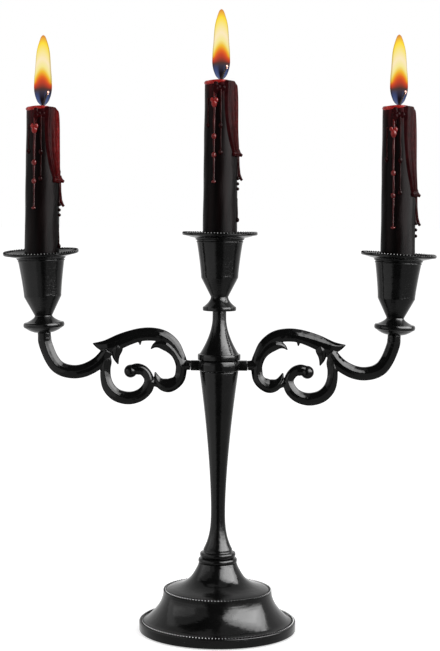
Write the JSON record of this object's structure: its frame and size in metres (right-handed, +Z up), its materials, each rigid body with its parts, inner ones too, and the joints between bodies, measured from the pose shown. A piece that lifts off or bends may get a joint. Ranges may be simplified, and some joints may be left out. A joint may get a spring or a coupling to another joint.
{
  "type": "candelabra",
  "caption": "Table candelabra: round stepped foot, trumpet stem, leaf-scroll arms on a hub, cups with beaded drip pans, and lit black candles with red wax runs.",
  "frame": {"origin": "middle of the underside of the foot, on the felt pad's lower face", "axes": "+Z up the column, X along the arms with the right arm at +X, -Y towards the viewer"},
  "size_m": [0.289, 0.104, 0.4139],
  "materials": {
    "enamel": "gloss",
    "steel": "satin",
    "felt": "matte",
    "wax_black": "satin",
    "wax_red": "gloss",
    "wick": "matte",
    "flame": "matte"
  },
  "bodies": {
    "column": {"felt_pad": "felt", "base_plate": "steel", "base_shell": "enamel", "rim_beading": "enamel", "step_beading": "enamel", "base_bolt": "steel", "base_washer": "steel", "stem_collar": "enamel", "stem": "enamel", "hub_stud": "steel", "riser": "enamel", "centre_knop": "enamel", "centre_cup": "enamel", "centre_pan": "enamel", "centre_pan_beading": "enamel", "centre_cup_screw": "steel"},
    "arms": {"arm_hub": "enamel", "arm_left": "enamel", "arm_right": "enamel", "left_knop": "enamel", "right_knop": "enamel", "left_cup": "enamel", "right_cup": "enamel", "left_pan": "enamel", "right_pan": "enamel", "left_pan_beading": "enamel", "right_pan_beading": "enamel", "side_cup_screws": "steel"},
    "left_candle": {"left_candle_coat": "wax_black", "left_candle_core": "wax_red", "left_wax_runs": "wax_red", "left_wick": "wick", "left_flame": "flame"},
    "centre_candle": {"centre_candle_coat": "wax_black", "centre_candle_core": "wax_red", "centre_wax_runs": "wax_red", "centre_wick": "wick", "centre_flame": "flame"},
    "right_candle": {"right_candle_coat": "wax_black", "right_candle_core": "wax_red", "right_wax_runs": "wax_red", "right_wick": "wick", "right_flame": "flame"}
  },
  "joints": [
    {"name": "arm_swivel", "type": "hinge", "parent": "column", "child": "arms", "pos_m": [0, 0, 0.17625], "axis": [0, 0, 1], "continuous": true},
    {"name": "left_candle_lift", "type": "slide", "parent": "arms", "child": "left_candle", "axis": [0, 0, 1], "range_m": [0, 0.035]},
    {"name": "centre_candle_lift", "type": "slide", "parent": "column", "child": "centre_candle", "axis": [0, 0, 1], "range_m": [0, 0.035]},
    {"name": "right_candle_lift", "type": "slide", "parent": "arms", "child": "right_candle", "axis": [0, 0, 1], "range_m": [0, 0.035]}
  ]
}
